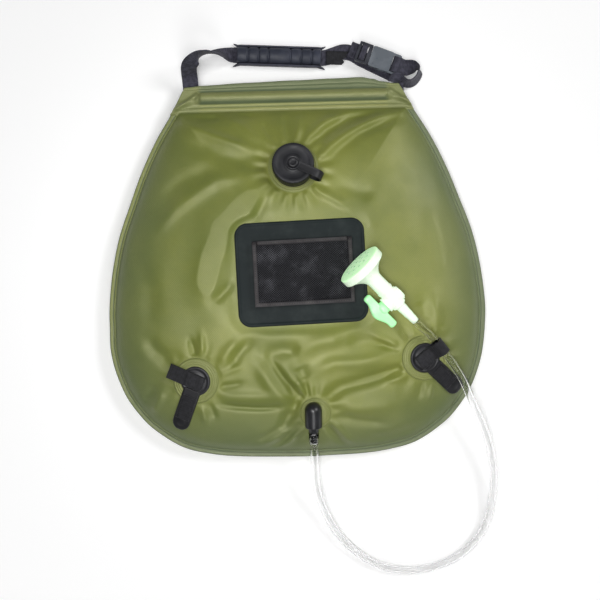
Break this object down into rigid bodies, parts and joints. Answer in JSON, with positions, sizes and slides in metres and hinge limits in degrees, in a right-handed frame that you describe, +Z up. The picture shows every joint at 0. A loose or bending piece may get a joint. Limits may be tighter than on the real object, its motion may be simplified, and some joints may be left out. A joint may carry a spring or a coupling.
{
  "type": "camp shower bag",
  "caption": "Flat coated-cloth water bag with a buckled carry handle, screw filler cap, net pocket, and a clear hose that ends in a shower head with a turn valve.",
  "frame": {"origin": "middle of the bag and its handle, hose left out, on the surface that the bag lies on", "axes": "+Z up out of the bag's front, +Y from the outlet to the handle, +X to the bag's right side as one looks at its front with the handle up"},
  "size_m": [0.4787, 0.6782, 0.1307],
  "materials": {
    "olive": "coated cloth, satin",
    "olive_weld": "coated cloth, welded",
    "black_patch": "coated cloth, matte",
    "net": "knitted net",
    "black_plastic": "moulded, satin",
    "buckle_plastic": "moulded, satin",
    "rubber": "soft moulding, satin",
    "webbing": "woven tape",
    "hook_tape": "hook and loop tape",
    "pale_plastic": "moulded, gloss",
    "mint_plastic": "moulded, gloss",
    "clear_hose": "clear soft plastic",
    "seal": "soft seal",
    "rod": "pultruded rod"
  },
  "bodies": {
    "bag": {"back_panel": "olive", "cap_tether": "rubber", "filler_neck": "black_plastic", "filler_patch": "olive_weld", "front_panel": "olive", "head_body": "pale_plastic", "hook_strap_left": "hook_tape", "hook_strap_right": "hook_tape", "hose": "clear_hose", "outlet_elbow": "black_plastic", "outlet_patch": "olive_weld", "pocket_binding": "black_patch", "pocket_mesh": "net", "pocket_patch": "black_patch", "pocket_top_tape": "black_patch", "rod_sleeve": "olive", "rose_plate": "pale_plastic", "spreader_rod": "rod", "strap_root_left": "webbing", "strap_root_right": "webbing", "tab_left": "rubber", "tab_patch_left": "olive_weld", "tab_patch_right": "olive_weld", "tab_right": "rubber", "tab_strip_left": "webbing", "tab_strip_right": "webbing"},
    "cap_carriage": {"tether_hub": "rubber"},
    "cap": {"filler_cap": "black_plastic", "cap_seal": "seal"},
    "valve": {"valve_handle": "mint_plastic", "valve_retainer": "pale_plastic", "valve_o_ring": "seal"},
    "handle": {"handle_strap": "webbing", "grip_pad": "rubber", "grip_core": "black_plastic", "strap_tail": "hook_tape", "buckle_female": "buckle_plastic", "right_strap": "webbing"},
    "buckle_insert": {"buckle_male": "buckle_plastic", "adjuster_webbing": "webbing"},
    "prong_upper": {"buckle_prong_upper": "buckle_plastic"},
    "prong_lower": {"buckle_prong_lower": "buckle_plastic"},
    "loop_flap_left": {"flap_left": "hook_tape"},
    "loop_flap_right": {"flap_right": "hook_tape"}
  },
  "joints": [
    {"name": "cap_lift", "type": "slide", "parent": "bag", "child": "cap_carriage", "axis": [0, 0.1658, 0.9862], "range_m": [0, 0.012], "deforming": ["cap_tether"]},
    {"name": "cap_turn", "type": "hinge", "parent": "cap_carriage", "child": "cap", "pos_m": [-0.0027, 0.0975, 0.05724], "axis": [0, 0.1658, 0.9862], "range_deg": [0, 1080]},
    {"name": "valve_turn", "type": "hinge", "parent": "bag", "child": "valve", "pos_m": [0.11288, -0.06598, 0.0891], "axis": [-0.7181, -0.6959, 0], "range_deg": [0, 90]},
    {"name": "handle_swing", "type": "hinge", "parent": "bag", "child": "handle", "pos_m": [0, 0.2054, 0.01805], "axis": [1, 0, 0], "range_deg": [-80, 80]},
    {"name": "buckle_release", "type": "slide", "parent": "handle", "child": "buckle_insert", "axis": [-0.9304, 0.3665, 0], "range_m": [0, 0.024], "deforming": ["buckle_prong_upper", "buckle_prong_lower"]},
    {"name": "prong_upper_squeeze", "type": "hinge", "parent": "buckle_insert", "child": "prong_upper", "pos_m": [0.10286, 0.24708, 0.0125], "axis": [0, 0, -1], "range_deg": [0, 12], "stiffness_Nm_per_rad": 0.02},
    {"name": "prong_lower_squeeze", "type": "hinge", "parent": "buckle_insert", "child": "prong_lower", "pos_m": [0.09795, 0.23462, 0.0125], "axis": [0, 0, 1], "range_deg": [0, 12], "stiffness_Nm_per_rad": 0.02},
    {"name": "flap_left_peel", "type": "hinge", "parent": "bag", "child": "loop_flap_left", "pos_m": [-0.1615, -0.1475, 0.05588], "axis": [-0.3915, -0.9004, -0.1898], "range_deg": [0, 150]},
    {"name": "flap_right_peel", "type": "hinge", "parent": "bag", "child": "loop_flap_right", "pos_m": [0.17578, -0.12261, 0.05463], "axis": [-0.6037, 0.7727, 0.1963], "range_deg": [0, 120]}
  ],
  "couplings": [
    {"joint": "cap_lift", "follows": "cap_turn", "m_per_rad": 0.0006366}
  ]
}
